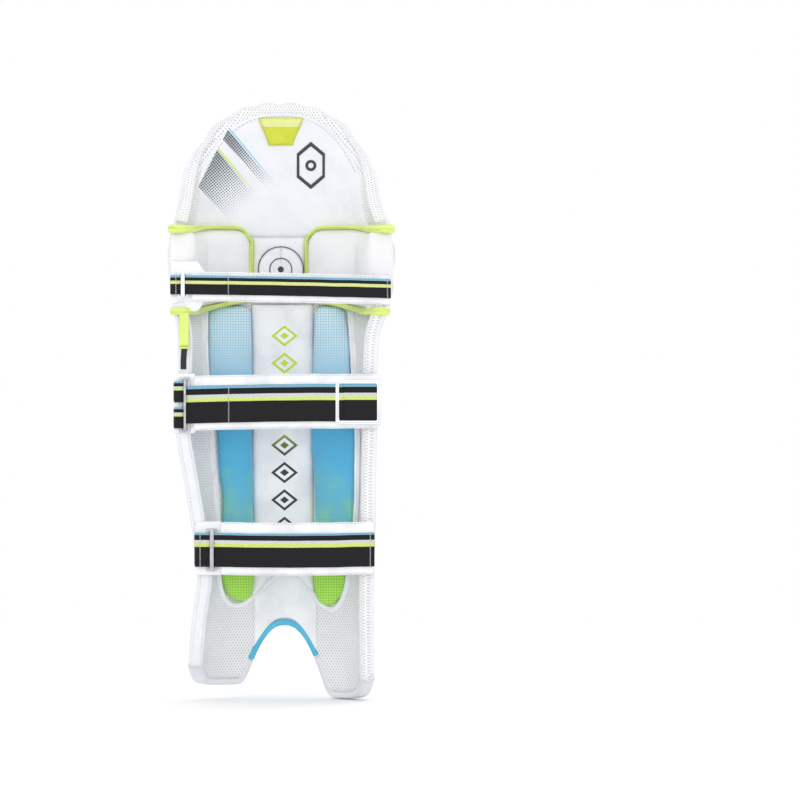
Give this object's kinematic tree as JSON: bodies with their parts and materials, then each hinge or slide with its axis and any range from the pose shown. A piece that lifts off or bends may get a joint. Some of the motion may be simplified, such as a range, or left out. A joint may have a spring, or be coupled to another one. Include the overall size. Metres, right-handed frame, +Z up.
{
  "type": "cricket leg pad",
  "caption": "Padded cricket leg guard with a channelled face, knee rolls, top hat, leg-side cushions and hinged strap rings.",
  "frame": {"origin": "centre of the knee on the axis of the leg, in the space that the pad wraps", "axes": "+Z up the leg, +Y out of the striking face, -Y towards the straps, +X to the inner side of the leg"},
  "size_m": [0.2686, 0.1417, 0.6925],
  "materials": {
    "pu_white": "matte",
    "mesh_white": "matte",
    "foam": "matte",
    "lime_fabric": "matte",
    "printed_fabric": "matte",
    "blue_pu": "matte",
    "strap_pu": "matte",
    "webbing": "matte",
    "ring_plastic": "matte",
    "hook_loop": "matte",
    "badge_print": "matte"
  },
  "bodies": {
    "pad": {"shin_face": "pu_white", "shin_inserts": "foam", "instep_panel": "pu_white", "instep_foam": "foam", "outer_wing_cover": "pu_white", "outer_wing_foam": "foam", "inner_wing_cover": "pu_white", "inner_wing_foam": "foam", "knee_wing": "pu_white", "knee_base_foam": "foam", "knee_roll_upper": "pu_white", "knee_roll_middle": "pu_white", "knee_roll_lower": "pu_white", "knee_roll_cores": "foam", "top_hat_face": "pu_white", "top_hat_inserts": "foam", "top_hat_border": "mesh_white", "top_hat_panel": "pu_white", "top_tag": "lime_fabric", "shin_lining": "mesh_white", "knee_cup": "pu_white", "knee_badge": "badge_print", "outer_knee_bolster": "mesh_white", "inner_knee_bolster": "mesh_white", "outer_knee_binding": "lime_fabric", "inner_knee_binding": "lime_fabric", "centre_bolster": "pu_white", "outer_shin_bolster": "printed_fabric", "inner_shin_bolster": "printed_fabric", "bolster_piping": "pu_white", "instep_lining": "pu_white", "instep_piping": "blue_pu", "outer_foot_binding": "pu_white", "inner_foot_binding": "pu_white", "outer_edge_binding": "pu_white", "inner_edge_binding": "pu_white", "knee_anchor": "webbing", "knee_loop_patch": "hook_loop", "calf_anchor": "webbing", "calf_loop_patch": "hook_loop", "ankle_anchor": "webbing", "ankle_loop_patch": "hook_loop"},
    "knee_ring_link": {"knee_ring": "ring_plastic"},
    "knee_strap_arm": {"knee_strap": "strap_pu", "knee_webbing": "webbing", "knee_hook_patch": "hook_loop"},
    "calf_ring_link": {"calf_ring": "ring_plastic"},
    "calf_strap_arm": {"calf_strap": "strap_pu", "calf_webbing": "webbing", "calf_hook_patch": "hook_loop", "calf_end_patch": "strap_pu"},
    "ankle_ring_link": {"ankle_ring": "ring_plastic"},
    "ankle_strap_arm": {"ankle_strap": "strap_pu", "ankle_webbing": "webbing", "ankle_hook_patch": "hook_loop"},
    "pull_tab": {"pull_tab_sleeve": "lime_fabric", "pull_tab_webbing": "webbing"}
  },
  "joints": [
    {"name": "knee_ring_swing", "type": "hinge", "parent": "pad", "child": "knee_ring_link", "pos_m": [-0.1175, -0.02887, -0.038], "axis": [0, 0, -1], "range_deg": [0, 75]},
    {"name": "knee_strap_open", "type": "hinge", "parent": "knee_ring_link", "child": "knee_strap_arm", "pos_m": [-0.1085, -0.02887, -0.038], "axis": [0, 0, -1], "range_deg": [0, 120]},
    {"name": "calf_ring_swing", "type": "hinge", "parent": "pad", "child": "calf_ring_link", "pos_m": [-0.115, -0.03584, -0.173], "axis": [0, 0, -1], "range_deg": [0, 75]},
    {"name": "calf_strap_open", "type": "hinge", "parent": "calf_ring_link", "child": "calf_strap_arm", "pos_m": [-0.106, -0.03584, -0.173], "axis": [0, 0, -1], "range_deg": [0, 120]},
    {"name": "ankle_ring_swing", "type": "hinge", "parent": "pad", "child": "ankle_ring_link", "pos_m": [-0.084, -0.03427, -0.34], "axis": [0, 0, -1], "range_deg": [0, 75]},
    {"name": "ankle_strap_open", "type": "hinge", "parent": "ankle_ring_link", "child": "ankle_strap_arm", "pos_m": [-0.075, -0.03427, -0.34], "axis": [0, 0, -1], "range_deg": [0, 120]},
    {"name": "pull_tab_lift", "type": "hinge", "parent": "pad", "child": "pull_tab", "pos_m": [-0.1115, -0.03141, -0.07], "axis": [-1, 0, 0], "range_deg": [0, 70]}
  ]
}
